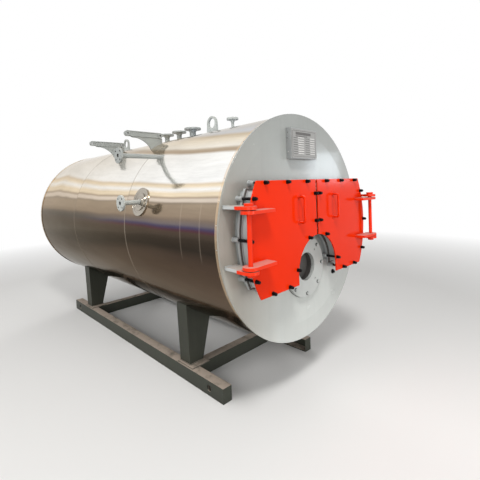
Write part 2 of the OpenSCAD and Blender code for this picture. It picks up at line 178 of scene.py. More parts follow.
def noise(tree, at, scale, detail, roughness=0.5):
    """Cloudy unevenness from 0 to 1."""
    made = shader_node(tree, "TexNoise", Vector=at, Scale=scale, Detail=detail, Roughness=roughness)
    return made.outputs["Fac"]


def shaded(tree, colour, factor):
    """A colour made darker or lighter by a factor."""
    return shader_node(tree, "VectorMath", {"operation": "SCALE"}, i0=colour, Scale=factor).outputs[0]


def painted(name, colour, rough=0.35, coat=0.0, peel=0.1, mottle=0.05, edge=0.25, edge_colour=None,
            dust=0.0, dust_colour=(0.42, 0.37, 0.30), runs=0.0, metal=0.0, fade=0.0, sheen=0.5,
            corner_shade=0.35, dished_and_shaded=0.0):
    """Sprayed enamel: uneven film, orange peel, thin paint on the edges, dust on top, painted shade in
    corners, and painted light by height and towards one side where asked.
    """
    mat, tree, skin, place = new_finish(name)
    broad = noise(tree, place, 2.1, 5.0, 0.6)
    fine = noise(tree, place, 210.0, 2.0)
    dark = tuple(c * (1 - mottle) for c in colour) + (1,)
    light = tuple(min(1.0, c * (1 + mottle)) for c in colour) + (1,)
    spread = ramped(tree, broad, 0.3, 0.7)
    film = blended(tree, spread, dark, light)
    bevelled = shader_node(tree, "Bevel", {"samples": 4}, Radius=0.004).outputs[0]
    flat = shader_node(tree, "NewGeometry").outputs["Normal"]
    turn = shader_node(tree, "VectorMath", {"operation": "DOT_PRODUCT"}, i0=bevelled, i1=flat)
    rim = ramped(tree, turn.outputs["Value"], 0.985, 0.86)
    patchy = noise(tree, place, 38.0, 3.0)
    patchy = ramped(tree, patchy, 0.35, 0.62)
    worn = maths(tree, "MULTIPLY", maths(tree, "MULTIPLY", rim, patchy), edge)
    thin = tuple(edge_colour or [min(1.0, c * 1.35 + 0.05) for c in colour]) + (1,)
    film = blended(tree, worn, film, thin)
    rough_map = maths(tree, "MULTIPLY_ADD", broad, 0.16, rough - 0.08)
    if runs:
        drawn = shader_node(tree, "Mapping", Vector=place, Scale=(9.0, 9.0, 0.55)).outputs[0]
        run = noise(tree, drawn, 2.0, 4.0)
        run = ramped(tree, run, 0.48, 0.75, high=runs)
        grimy = tuple(c * 0.62 for c in colour) + (1,)
        film = blended(tree, run, film, grimy)
    if dust:
        up = shader_node(tree, "SeparateXYZ", Vector=flat).outputs["Z"]
        lying = ramped(tree, up, 0.55, 0.95)
        specks = noise(tree, place, 7.0, 6.0, 0.65)
        specks = ramped(tree, specks, 0.20, 0.50)
        cover = maths(tree, "MULTIPLY", maths(tree, "MULTIPLY", lying, specks), dust)
        film = blended(tree, cover, film, (*dust_colour, 1))
        rough_map = maths(tree, "MULTIPLY_ADD", cover, 0.4, rough_map, clamp=True)
    # Painted shade: the film darkens where other surfaces stand near, in corners, creases, under parts and
    # between them.
    if corner_shade:
        near = shader_node(tree, "AmbientOcclusion", {"samples": 8}, Distance=0.14).outputs["AO"]
        film = shaded(tree, film, ramped(tree, near, 0.15, 0.85, 1.0 - corner_shade))
    # Painted light: the film is made lighter low down and darker high up, by height alone.
    if fade:
        height = shader_node(tree, "SeparateXYZ", Vector=place).outputs["Z"]
        film = shaded(tree, film, ramped(tree, height, 0.6, 2.7, 1.0 + fade, 1.0 - fade))
    if dished_and_shaded:
        split = shader_node(tree, "SeparateXYZ", Vector=place).outputs
        above = maths(tree, "SUBTRACT", split["Z"], plate_middle)
        squares = (maths(tree, "MULTIPLY", above, above), maths(tree, "MULTIPLY", split["X"], split["X"]))
        reach = maths(tree, "SQRT", maths(tree, "ADD", *squares))
        past = maths(tree, "MAXIMUM", maths(tree, "SUBTRACT", reach, dished_and_shaded), 0.0)
        drop = maths(tree, "MULTIPLY", past, -1.0)
        # Painted shade: the film is made darker and warmer towards the left and lower parts of the plate. The
        # bump below is the dished rim's real tilt.
        aside = ramped(tree, split["X"], -0.40, -0.95)
        below = ramped(tree, split["Z"], 2.25, 1.85, 0.4)
        left_low_shade = blended(tree, maths(tree, "MULTIPLY", aside, below), (1.0, 1.0, 1.0, 1), (0.74, 0.68, 0.62, 1))
        film = shader_node(tree, "VectorMath", {"operation": "MULTIPLY"}, i0=film, i1=left_low_shade).outputs[0]
        bevelled = shader_node(tree, "Bump", Height=drop, Normal=bevelled, Strength=1.0,
                               Distance=0.07).outputs[0]
    bump = shader_node(tree, "Bump", Height=fine, Normal=bevelled, Strength=peel, Distance=0.0006).outputs[0]
    tree.links.new(film, skin.inputs["Base Color"])
    tree.links.new(rough_map, skin.inputs["Roughness"])
    tree.links.new(bump, skin.inputs["Normal"])
    skin.inputs["Metallic"].default_value = metal
    skin.inputs["Specular IOR Level"].default_value = sheen
    skin.inputs["Coat Weight"].default_value = coat
    skin.inputs["Coat Roughness"].default_value = 0.08
    return mat


def finish_nodes(material, *names):
    """Gives CAD nodes their real finish."""
    for name in names:
        for slot in node[name].material_slots:
            slot.material = material


# The tube plate's enamel carries painted light: lighter low and darker high, darker and warmer to the left,
# and a little painted shade in corners. The grey enamel has a slight painted height gradient and painted
# corner shade.
plate_enamel = painted("plate_enamel", (0.43, 0.447, 0.425), rough=0.25, coat=0.25, mottle=0.035, runs=0.10,
                       corner_shade=0.1, fade=0.34, dished_and_shaded=0.935)
grey_enamel = painted("grey_enamel", (0.42, 0.44, 0.435), rough=0.34, coat=0.2, mottle=0.05, runs=0.10,
                      fade=0.10)
finish_nodes(plate_enamel, "front_plate")


# Cladding: sheets of polished stainless steel wrapped round the insulated
# drum, each one lapped over the next and wavy from being pulled tight.
# Their colour is painted reflection: bands by height of what the mirror shows.
shell_low, shell_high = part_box("drum_shell")
drum_r = (shell_high.x - shell_low.x) / 2
axis_z = (shell_high.z + shell_low.z) / 2
front_y, rear_y = shell_low.y, shell_high.y
lap_ys = (0.54, 2.12)
strap_ys = (-0.505, -0.78)
# Heights above which the painted reflection bands fan out, and below which they drop towards the rear.
fan_foot, drop_top = 1.87, 1.69
# Colours of the painted reflections, from the bright sky above down to the darkest reflected ground.
sky, cream, tan, silver = (0.97, 0.97, 0.95), (0.88, 0.74, 0.54), (0.37, 0.29, 0.21), (0.72, 0.62, 0.52)
earth, brown, umber = (0.125, 0.088, 0.065), (0.085, 0.056, 0.040), (0.072, 0.048, 0.036)
darkest_reflection, slate, indigo = (0.03, 0.023, 0.018), (0.16, 0.135, 0.14), (0.062, 0.052, 0.11)
wine, haze = (0.085, 0.032, 0.045), (0.66, 0.72, 0.82)
painted_reflection_bands = (
    (0.80, (0.012, 0.009, 0.007)), (0.89, umber), (1.12, earth), (1.34, brown), (1.45, umber), (1.53, darkest_reflection),
    (1.63, (0.052, 0.038, 0.028)), (1.675, umber), (1.694, wine), (1.720, indigo), (1.745, slate),
    (1.785, (0.21, 0.16, 0.125)), (1.815, (0.31, 0.235, 0.17)), (1.915, tan), (1.932, (0.31, 0.25, 0.19)),
    (1.942, silver), (1.964, silver), (1.976, tan), (1.992, cream), (2.014, cream), (2.045, sky),
    (2.074, cream), (2.092, (0.74, 0.62, 0.47)), (2.11, sky), (2.355, sky), (2.378, (0.46, 0.36, 0.26)),
    (2.402, (0.50, 0.41, 0.31)), (2.425, (0.96, 0.92, 0.84)), (2.49, (0.93, 0.85, 0.71)),
    (2.535, (0.64, 0.54, 0.41)), (2.565, haze), (2.70, (0.60, 0.62, 0.64)),
)


def clad_steel(name, lift=0.0, lift_colour=(0.80, 0.60, 0.40, 1)):
    """Mirror polished sheet with painted reflections: banded by height like what it mirrors, with painted
    reflection streaks that shift at each lap and painted shade towards the rear.
    """
    mat, tree, skin, place = new_finish(name)
    split = shader_node(tree, "SeparateXYZ", Vector=place).outputs
    sheet = maths(tree, "ADD", *(maths(tree, "GREATER_THAN", split["Y"], y) for y in lap_ys))
    along = maths(tree, "MULTIPLY_ADD", sheet, 5.3, maths(tree, "MULTIPLY", split["Y"], 0.9))
    squat = maths(tree, "MULTIPLY", split["Z"], 0.6)
    sway_at = shader_node(tree, "CombineXYZ", X=split["X"], Y=along, Z=squat).outputs[0]
    sway = noise(tree, sway_at, 1.0, 2.0)
    drift = maths(tree, "MAXIMUM", maths(tree, "MULTIPLY_ADD", split["Y"], -0.13, 0.90), 0.5)
    fanned = maths(tree, "MULTIPLY_ADD", maths(tree, "SUBTRACT", split["Z"], fan_foot), drift, fan_foot)
    low = ramped(tree, split["Z"], fan_foot + 0.01, fan_foot - 0.01)
    fanned = shader_node(tree, "Mix", i0=low, i2=fanned, i3=split["Z"]).outputs[0]
    deep = ramped(tree, split["Z"], 1.15, 1.40)
    far = ramped(tree, split["Y"], 0.0, 2.0, high=0.52)
    drop = maths(tree, "MAXIMUM", maths(tree, "SUBTRACT", drop_top, split["Z"]), 0.0)
    fanned = maths(tree, "MULTIPLY_ADD", maths(tree, "MULTIPLY", deep, far), drop, fanned)
    height = maths(tree, "MULTIPLY_ADD", maths(tree, "SUBTRACT", sway, 0.5), 0.045, fanned)
    # Painted reflection: the tone is looked up by height from the bands.
    tone_at = ramped(tree, height, axis_z - drum_r, axis_z + drum_r)
    ramp = shader_node(tree, "ValToRGB", Fac=tone_at)
    stops = ramp.color_ramp.elements
    for number, (at, colour) in enumerate(painted_reflection_bands):
        spot = (at - axis_z + drum_r) / (2 * drum_r)
        stop = stops[number] if number < 2 else stops.new(spot)
        stop.position = spot
        stop.color = (*colour, 1)
    # Painted reflection streaks: thin wavy lines of lighter and darker tone along the sheet.
    reflection_streak_at = shader_node(tree, "CombineXYZ", Y=along, Z=maths(tree, "MULTIPLY", height, 9.0)).outputs[0]
    reflection_streak = noise(tree, reflection_streak_at, 1.0, 5.0, 0.7)
    reflection_streak = ramped(tree, reflection_streak, 0.3, 0.7, 0.86, 1.08)
    tone = shaded(tree, ramp.outputs[0], reflection_streak)
    # Painted reflection: a dark band around the middle height, darker towards the rear.
    above = ramped(tree, height, 1.665, 1.70)
    under = ramped(tree, height, 1.80, 1.75)
    dark_reflected_band = ramped(tree, split["Y"], 0.5, 2.0, high=0.85)
    dark_reflected_band = maths(tree, "MULTIPLY", dark_reflected_band, maths(tree, "MULTIPLY", above, under))
    tone = blended(tree, dark_reflected_band, tone, (0.095, 0.085, 0.075, 1))
    # Painted shade: the lower middle of the sheet is darkened more towards the rear.
    rear_painted_shade = ramped(tree, split["Y"], 0.8, 2.6, high=0.6)
    rear_painted_shade = maths(tree, "MULTIPLY", rear_painted_shade, ramped(tree, height, 1.86, 1.72))
    tone = shaded(tree, tone, maths(tree, "SUBTRACT", 1.0, rear_painted_shade))
    if lift:
        tone = blended(tree, lift, tone, lift_colour)
    else:
        worn = ramped(tree, split["Z"], 1.42, 1.50)
        lower = ramped(tree, split["Z"], 2.00, 1.90)
        worn = maths(tree, "MULTIPLY", worn, lower)
        for strap_y in strap_ys:
            off = maths(tree, "ABSOLUTE", maths(tree, "SUBTRACT", split["Y"], strap_y))
            line = ramped(tree, off, 0.011, 0.002, high=0.16)
            tone = blended(tree, maths(tree, "MULTIPLY", line, worn), tone, (0.62, 0.52, 0.42, 1))
    tree.links.new(tone, skin.inputs["Base Color"])
    smear = noise(tree, place, 3.0, 6.0, 0.7)
    tree.links.new(maths(tree, "MULTIPLY_ADD", smear, 0.16, 0.03), skin.inputs["Roughness"])
    wave_at = shader_node(tree, "Mapping", Vector=place, Scale=(3.0, 0.7, 3.0)).outputs[0]
    wave = noise(tree, wave_at, 1.0, 2.0)
    bump = shader_node(tree, "Bump", Height=wave, Strength=0.5, Distance=0.02).outputs[0]
    tree.links.new(bump, skin.inputs["Normal"])
    skin.inputs["Metallic"].default_value = 0.88
    skin.inputs["Specular Tint"].default_value = (0.74, 0.68, 0.60, 1)
    return mat


sheet_steel = clad_steel("sheet_steel")
finish_nodes(sheet_steel, "drum_shell")


def new_piece(name, bm, material, body):
    """A finished object from a mesh, riding on its body."""
    mesh = bpy.data.meshes.new(name)
    bm.to_mesh(mesh)
    bm.free()
    mesh.materials.append(material)
    mesh.set_sharp_from_angle(angle=math.radians(33))
    piece = bpy.data.objects.new(name, mesh)
    scene.collection.objects.link(piece)
    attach(piece, body)
    return piece


def loft(bm, rings, closed=False):
    """Skins a list of rings of points with quads, and caps both ends unless the last meets the first."""
    loops = [[bm.verts.new(p) for p in ring] for ring in rings]
    pairs = list(zip(loops, loops[1:])) + ([(loops[-1], loops[0])] if closed else [])
    for low, high in pairs:
        for i in range(len(low)):
            bm.faces.new((low[i], low[i - 1], high[i - 1], high[i])).smooth = True
    if not closed:
        bm.faces.new(loops[0])
        bm.faces.new(loops[-1][::-1])


def hoop(bm, profile):
    """Turns a closed profile of (radius, y) points round the drum's axis."""
    rings, steps = [], 360
    for step in range(steps):
        angle = 2 * math.pi * step / steps
        rings.append([(r * math.cos(angle), y, axis_z + r * math.sin(angle)) for r, y in profile])
    loft(bm, rings, closed=True)


lap_mesh, lap_wide = bmesh.new(), 0.022
for lap_y in lap_ys:
    hoop(lap_mesh, [(drum_r - 0.0006, lap_y - 0.001), (drum_r + 0.0007, lap_y - 0.001),
                    (drum_r + 0.0012, lap_y), (drum_r + 0.0003, lap_y + lap_wide),
                    (drum_r - 0.0006, lap_y + lap_wide)])
# The laps carry the cladding's painted reflection bands, blended towards a warm grey.
lap_steel = clad_steel("lap_steel", 0.40, (0.42, 0.36, 0.29, 1))
new_piece("cladding_laps", lap_mesh, lap_steel, "boiler")


# Trim bands: bright strips wrapped round both ends of the cladding and held
# to it by small round-headed screws.
# The trim bands carry the cladding's painted reflection bands, blended towards a warm cream.
trim_steel = clad_steel("trim_steel", 0.45)
bright_steel = painted("bright_steel", (0.46, 0.46, 0.45), rough=0.28, mottle=0.1, metal=1.0, edge=0.1,
                       corner_shade=0.0)
finish_nodes(trim_steel, "trim_bands")


def turned(bm, foot, axis, rings, sides=24, hollow=False):
    """Stacks rings of (height, radius, half flats) along an axis; half flats makes a ring six-sided."""
    lie = Vector((0, 0, 1)).rotation_difference(Vector(axis)).to_matrix()
    loops = []
    for height, radius, half_flats in rings:
        loop = []
        for i in range(sides):
            angle = 2 * math.pi * i / sides
            reach = radius
            if half_flats:
                off_flat = (angle + math.pi / 6) % (math.pi / 3) - math.pi / 6
                reach = min(radius, half_flats / math.cos(off_flat))
            spot = Vector((reach * math.cos(angle), reach * math.sin(angle), height))
            loop.append(Vector(foot) + lie @ spot)
        loops.append(loop)
    loft(bm, loops, closed=hollow)


screw_mesh = bmesh.new()
band_r, band_middle = drum_r + 0.006, 0.017
for y in (front_y + band_middle, rear_y - band_middle):
    for number in range(36):
        angle = math.pi * number / 18 + 0.06
        out = Vector((math.cos(angle), 0, math.sin(angle)))
        turned(screw_mesh, Vector((0, y, axis_z)) + out * (band_r - 0.0008), out,
               [(0, 0.0052, 0), (0.0018, 0.0050, 0), (0.0030, 0.0036, 0), (0.0035, 0.0015, 0)], sides=12)
new_piece("trim_screws", screw_mesh, bright_steel, "boiler")


# Tube plate inside the smoke box: the ends of the fire tubes, expanded and
# welded into the plate above and beside the furnace. Only the open doors show them.
front_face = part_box("front_plate")[0].y
soot_steel = painted("soot_steel", (0.075, 0.070, 0.065), rough=0.7, mottle=0.35, edge=0.5, runs=0.4)
tube_mesh = bmesh.new()
tube_pitch, row_rise = 0.092, 0.87
field_r, field_down, field_up, seam_half = 0.86, -0.39, 0.37, 0.12
mouth_down, mouth_r = 0.386, 0.44
for row_number in range(-5, 6):
    for place_number in range(-9, 10):
        x = (place_number + (row_number % 2) / 2) * tube_pitch
        z = row_number * tube_pitch * row_rise
        if (math.hypot(x, z) < field_r and math.hypot(x, z + mouth_down) > mouth_r and abs(x) > seam_half
                and field_down < z < field_up):
            turned(tube_mesh, (x, front_face + 0.001, axis_z + z), (0, -1, 0),
                   [(0, 0.033, 0), (0.006, 0.0315, 0), (0.008, 0.029, 0), (0.008, 0.026, 0),
                    (0.0015, 0.0255, 0)], sides=20)
new_piece("tube_ends", tube_mesh, soot_steel, "boiler")


# Furnace tube: the corrugated steel tube that the flame burns in, welded to
# both end plates inside the drum. Only its dark inside shows, through the throat.
furnace_z = axis_z - 0.392
furnace_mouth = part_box("burner_throat")[1].y - 0.3
furnace_r, furnace_wave, furnace_steps = 0.36, 0.016, 180
furnace_mesh = bmesh.new()
furnace_rings = []
for step in range(furnace_steps + 1):
    y = furnace_mouth + step * 0.02
    swell = furnace_r + furnace_wave * math.cos(step * 0.8) if step < furnace_steps else 0.30
    angles = [a * math.pi / 36 for a in range(72)]
    furnace_rings.append([(swell * math.cos(a), y, furnace_z + swell * math.sin(a)) for a in angles])
loft(furnace_mesh, furnace_rings)
new_piece("furnace_tube", furnace_mesh, soot_steel, "boiler")


# Smoke box collar: a bent flat bar that follows the doors' outline, seam
# welded to the tube plate, with a turned-out rim for the rope seal.
def bead(bm, path, radius, normal, closed=True, seed=1):
    """A weld bead along a path, with the ripples that welding leaves."""
    ends = [Vector(p) for p in path] + ([Vector(path[0])] if closed else [])
    spots = []
    for a, b in zip(ends, ends[1:]):
        count = max(1, round((b - a).length / (radius * 0.8)))
        spots += [a.lerp(b, i / count) for i in range(count)]
    if not closed:
        spots.append(ends[-1])
    drift = random.Random(seed)
    rings = []
    for i, spot in enumerate(spots):
        after = spots[(i + 1) % len(spots)] if closed or i + 1 < len(spots) else spot
        before = spots[i - 1] if closed or i else spot
        run = (after - before).normalized()
        side = run.cross(Vector(normal)).normalized()
        rise = side.cross(run)
        swell = radius * (1 + 0.17 * math.sin(i * 2.1) + drift.uniform(-0.07, 0.07))
        rings.append([spot + swell * (math.cos(k * math.pi / 4) * side + math.sin(k * math.pi / 4) * rise)
                      for k in range(8)])
    loft(bm, rings, closed=closed)


door_low, door_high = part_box("left_door")
door_r = -door_low.x
door_up, door_down = door_high.z - axis_z, axis_z - door_low.z
arch_down, arch_r, straight_in = 0.386, 0.322, 0.042


def door_outline(inset, at_seam, at_arch, side=-1):
    """Points (x, z) round one door's outline, drawn smaller by the insets, its straight edges by more."""
    r, up, down = door_r - inset, door_up - inset - straight_in, door_down - inset - straight_in
    arch = arch_r + at_arch
    corner = [math.asin(up / r), -math.asin(down / r)]
    points = [(at_seam, up)]
    points += [(r * math.cos(a), r * math.sin(a)) for a in
               (corner[0] + (corner[1] - corner[0]) * i / 40 for i in range(41))]
    points += [(arch, -down)]
    last = math.acos(at_seam / arch)
    points += [(arch * math.cos(last * i / 24), arch * math.sin(last * i / 24) - arch_down)
               for i in range(25)]
    return [(side * x, axis_z + z) for x, z in points]


def upright_ring(x, y, z, radius, sides):
    """Points round a circle that faces the front."""
    angles = [2 * math.pi * i / sides for i in range(sides)]
    return [(x + radius * math.cos(a), y, z + radius * math.sin(a)) for a in angles]


stud_in, nut_face = 0.017, door_low.y
top_w = math.sqrt(door_r ** 2 - door_up ** 2)
bottom_w = math.sqrt(door_r ** 2 - door_down ** 2)
rim, arch_rim = door_r - stud_in, arch_r + 0.020
outer_stud, inner_stud = top_w - 0.097, 0.164
stud_places = [(outer_stud + (inner_stud - outer_stud) * i / 2, door_up - stud_in) for i in range(3)]
stud_places += [(rim * math.cos(math.radians(a)), rim * math.sin(math.radians(a))) for a in (20, 0, -20)]
stud_places += [(bottom_w - 0.140, stud_in - door_down), (arch_r + 0.140, stud_in - door_down)]
stud_places += [(arch_rim * math.cos(math.radians(a)), arch_rim * math.sin(math.radians(a)) - arch_down)
                for a in (8, 65)]
stud_places += [(0.033, door_up - 0.132), (0.033, door_up - 0.388)]
weld_paint = painted("painted_weld", (0.40, 0.42, 0.41), rough=0.42, coat=0.15, mottle=0.12)
finish_nodes(grey_enamel, "smoke_box_collar")
collar_welds, collar_bead, boss_r = bmesh.new(), 0.0045, 0.021
for side in (-1, 1):
    for inset, seed in ((0.042, 3), (0.054, 4)):
        outline = door_outline(inset, inset + 0.022, inset + 0.016, side)
        path = [(x, front_face - 0.001, z) for x, z in outline]
        bead(collar_welds, path, collar_bead, (0, -1, 0), seed=seed)
    for x, z in stud_places:
        ring = upright_ring(side * x, front_face - 0.001, axis_z + z, boss_r, 24)
        bead(collar_welds, ring, collar_bead, (0, -1, 0), seed=6)
new_piece("collar_welds", collar_welds, weld_paint, "boiler")


# Door seal: graphited glass rope pressed into the collar's rim, black where
# it is worn smooth and lighter in the twist.
def rope(name):
    """Braided rope: fine diagonal twist in colour and height."""
    mat, tree, skin, place = new_finish(name)
    twist = shader_node(tree, "TexWave", {"bands_direction": "DIAGONAL"}, Vector=place, Scale=60.0,
                        Distortion=1.5).outputs["Fac"]
    tone = blended(tree, twist, (0.055, 0.050, 0.045, 1), (0.15, 0.140, 0.125, 1))
    fuzz = noise(tree, place, 300.0, 3.0)
    tree.links.new(tone, skin.inputs["Base Color"])
    tree.links.new(maths(tree, "MULTIPLY_ADD", fuzz, 0.25, 0.65), skin.inputs["Roughness"])
    bump = shader_node(tree, "Bump", Height=twist, Strength=0.8, Distance=0.002).outputs[0]
    tree.links.new(bump, skin.inputs["Normal"])
    return mat


finish_nodes(rope("seal_rope"), "door_seal")


# Clamp studs: black oxide threaded rods screwed into bosses on the tube plate,
# standing in a row just inside the edges of the doors.
black_oxide = painted("black_oxide", (0.004, 0.004, 0.005), rough=0.40, mottle=0.3, peel=0.3, edge=0.5,
                      edge_colour=(0.04, 0.038, 0.035), sheen=0.08)
stud_low, stud_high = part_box("door_studs")
stud_mesh = bmesh.new()
thread_pitch, thread_r, root_r = 0.0045, 0.0118, 0.0102
for side in (-1, 1):
    for x, z in stud_places:
        rings = []
        for turn_number in range(int((stud_high.y - stud_low.y) / thread_pitch)):
            start = turn_number * thread_pitch
            rings += [(start, thread_r, 0), (start + 0.0011, thread_r, 0), (start + 0.0023, root_r, 0),
                      (start + 0.0033, root_r, 0)]
        turned(stud_mesh, (side * x, stud_high.y, axis_z + z), (0, -1, 0), rings, sides=14)
clamp_studs = new_piece("clamp_studs", stud_mesh, black_oxide, "boiler")
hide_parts("door_studs")


# Clamp nuts: each door is drawn up by long black hexagon nuts with washers,
# and the sawn end of the stud stands a turn or two in front of the nut.
door_sides = (("left_door", -1), ("right_door", 1))
nut_flat, nut_corner = 0.0140, 0.0158
nut_rings = [(0, 0.0144, nut_flat), (0.0018, nut_corner, nut_flat), (0.0226, nut_corner, nut_flat),
             (0.0240, 0.0141, nut_flat), (0.0240, 0.0131, 0), (0.0235, 0.0126, 0)]
stud_end_rings = [(0.0247 + 0.0020 * i, 0.0126 if i % 2 else 0.0113, 0) for i in range(4)]
stud_end_rings += [(0.0334, 0.0126, 0), (0.0345, 0.0115, 0)]
for body, side in door_sides:
    nut_mesh, washer_mesh = bmesh.new(), bmesh.new()
    for x, z in stud_places:
        foot = Vector((side * x, nut_face, axis_z + z))
        turned(washer_mesh, foot, (0, -1, 0),
               [(-0.0002, 0.0180, 0), (0.0022, 0.0180, 0), (0.0028, 0.0174, 0)], sides=28)
        turned(nut_mesh, foot + Vector((0, -0.003, 0)), (0, -1, 0), nut_rings + stud_end_rings)
    nuts = new_piece(f"{body}_clamp_nuts", nut_mesh, black_oxide, f"{body}_body")
    new_piece(f"{body}_washers", washer_mesh, black_oxide, f"{body}_body")
    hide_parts(f"{body}_nuts")


# Smoke box doors: 12 mm steel plates with a bent box behind, sprayed gloss
# orange red, with a cast insulating slab inside.
door_gloss = painted("door_gloss", (0.78, 0.026, 0.001), rough=0.15, peel=0.06, mottle=0.03, edge=0.35,
                     edge_colour=(0.90, 0.12, 0.05), dust=0.30, dust_colour=(0.72, 0.45, 0.38), sheen=0.10)
finish_nodes(door_gloss, "left_door", "right_door", "left_door_handle", "right_door_handle")
finish_nodes(grey_enamel, "left_door_box", "right_door_box")


def cast_lining(name):
    """Castable insulation: pale, pitted, and smoked by the flue gas."""
    mat, tree, skin, place = new_finish(name)
    smoke = noise(tree, place, 3.5, 6.0)
    tone = blended(tree, smoke, (0.60, 0.56, 0.49, 1), (0.30, 0.27, 0.23, 1))
    pits = shader_node(tree, "TexVoronoi", Vector=place, Scale=120.0).outputs["Distance"]
    tree.links.new(tone, skin.inputs["Base Color"])
    tree.links.new(maths(tree, "MULTIPLY_ADD", smoke, 0.1, 0.85), skin.inputs["Roughness"])
    bump = shader_node(tree, "Bump", Height=pits, Strength=0.6, Distance=0.003).outputs[0]
    tree.links.new(bump, skin.inputs["Normal"])
    return mat


finish_nodes(cast_lining("cast_lining"), "left_door_lining", "right_door_lining")
finish_nodes(soot_steel, "burner_throat")


# Door arms: flat bar arms welded on edge to each door, with a bored eye that
# turns on the hinge pin. Dust lies on their tops.
red_weld_paint = painted("red_weld", (0.76, 0.028, 0.004), rough=0.3, mottle=0.08, sheen=0.2)
finish_nodes(painted("arm_gloss", (0.80, 0.032, 0.004), rough=0.30, peel=0.1, edge=0.4, sheen=0.2,
                     edge_colour=(0.92, 0.16, 0.08), dust=0.75, dust_colour=(0.58, 0.34, 0.29)),
             "left_door_arms", "right_door_arms", "hinge_lugs")
arm_low, arm_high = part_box("left_door_arms")
arm_t, arm_bead = 0.025, 0.0042
lower_arm, upper_arm, arm_tip = arm_low.z, arm_high.z - arm_t, arm_high.x
for body, side in door_sides:
    weld_mesh = bmesh.new()
    for z in (lower_arm, lower_arm + arm_t, upper_arm, upper_arm + arm_t):
        bead(weld_mesh, [(side * -arm_tip, nut_face - 0.001, z),
                         (side * (door_r - 0.012), nut_face - 0.001, z)],
             arm_bead, (0, -1, 0), closed=False, seed=round(z * 100))
    for z in (lower_arm, upper_arm):
        bead(weld_mesh, [(side * -arm_tip, nut_face - 0.001, z),
                         (side * -arm_tip, nut_face - 0.001, z + arm_t)],
             arm_bead, (0, -1, 0), closed=False, seed=5)
    new_piece(f"{body}_arm_welds", weld_mesh, red_weld_paint, f"{body}_body")


# Door handles: 22 mm round bar bent twice and welded to round pads.
handle_low, handle_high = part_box("left_door_handle")
handle_mid, pad_r, bar_r = (handle_low.x + handle_high.x) / 2, 0.022, 0.0115
for body, side in door_sides:
    weld_mesh = bmesh.new()
    for foot_z in (handle_low.z + pad_r, handle_high.z - pad_r):
        for radius, y in ((pad_r, 0.0), (bar_r, -0.006)):
            ring = upright_ring(side * -handle_mid, nut_face + y, foot_z, radius, 32)
            bead(weld_mesh, ring, 0.0025, (0, -1, 0), seed=7)
    new_piece(f"{body}_handle_welds", weld_mesh, red_weld_paint, f"{body}_body")


# Hinge pins: turned bar with a round head above, a washer between lug and
# arm, and a locking nut below.
pin_red = painted("pin_gloss", (0.80, 0.030, 0.004), rough=0.42, peel=0.08, edge=0.5, sheen=0.12,
                  edge_colour=(0.40, 0.30, 0.26), dust=0.4, dust_colour=(0.62, 0.36, 0.31))
finish_nodes(pin_red, "left_hinge_pin", "right_hinge_pin")


# Hinge brackets: shelves of 25 mm plate welded flat to the tube plate, grey
# like it and dusty on top, with the red lugs welded to their front edges.
finish_nodes(painted("bracket_enamel", (0.46, 0.475, 0.465), rough=0.36, coat=0.2, dust=0.75,
                     dust_colour=(0.42, 0.35, 0.29)), "left_hinge_bracket", "right_hinge_bracket")
lug_low, lug_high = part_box("hinge_lugs")
shelf_tip, shelf_root, shelf_t = -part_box("left_hinge_bracket")[0].x, 0.972, 0.025
bracket_welds = bmesh.new()
for side in (-1, 1):
    for z in (lug_low.z, lug_high.z - shelf_t):
        for edge in (0.0, shelf_t):
            bead(bracket_welds, [(side * shelf_tip, front_face - 0.001, z + edge),
                                 (side * shelf_root, front_face - 0.001, z + edge)],
                 0.005, (0, -1, 0), closed=False, seed=11)
new_piece("bracket_welds", bracket_welds, weld_paint, "boiler")


# Burner plate: a thick machined disc bolted over the furnace mouth with
# eight bolts, their heads painted in with the plate, on black washers.
plate_low, plate_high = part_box("burner_plate")
burner_face, burner_r = plate_low.y, (plate_high.x - plate_low.x) / 2
burner_enamel = painted("burner_enamel", (0.46, 0.475, 0.455), rough=0.34, coat=0.2, mottle=0.05, runs=0.12,
                        edge=0.35)
finish_nodes(burner_enamel, "burner_plate")


def hex_bolt(bm, washers, foot, axis, half_flats, tall):
    """A washer, and a chamfered bolt head standing on it."""
    turned(washers, foot, axis,
           [(-0.0005, half_flats * 1.42, 0), (0.0025, half_flats * 1.42, 0), (0.003, half_flats * 1.36, 0)])
    wide = half_flats / math.cos(math.pi / 6)
    turned(bm, Vector(foot) + 0.003 * Vector(axis), axis,
           [(0, wide, half_flats), (tall * 0.8, wide, half_flats), (tall, half_flats * 0.97, half_flats)])


# The black washers are real, and their dark colour also paints the shadow round each bolt head.
bolt_mesh, washer_mesh, bolt_circle_r = bmesh.new(), bmesh.new(), 0.266
for spot in upright_ring(0, burner_face, furnace_z, bolt_circle_r, 8):
    hex_bolt(bolt_mesh, washer_mesh, spot, (0, -1, 0), 0.012, 0.014)
new_piece("burner_plate_bolts", bolt_mesh, burner_enamel, "boiler")
new_piece("burner_plate_shadow_washers", washer_mesh, black_oxide, "boiler")
# A dark bead round the burner plate where it meets the tube plate: a real joint, and its dark colour is a
# painted contact shadow under the rim.
shadow_joint_mesh = bmesh.new()
shadow_joint_ring = upright_ring(0, front_face - 0.0005, furnace_z, burner_r, 180)
bead(shadow_joint_mesh, shadow_joint_ring, 0.0028, (0, -1, 0), seed=13)
new_piece("burner_plate_shadow_joint", shadow_joint_mesh, soot_steel, "boiler")


# Drain plug: a black round boss on the tube plate, low on the right beside
# the burner plate, with a hexagon headed plug screwed into it.
plug_mesh = bmesh.new()
turned(plug_mesh, (0.545, front_face, 1.083), (0, -1, 0),
       [(-0.0005, 0.024, 0), (0.010, 0.024, 0), (0.012, 0.022, 0), (0.012, 0.0150, 0.0130),
        (0.024, 0.0150, 0.0130), (0.026, 0.0125, 0.0130)])
new_piece("drain_plug", plug_mesh, black_oxide, "boiler")


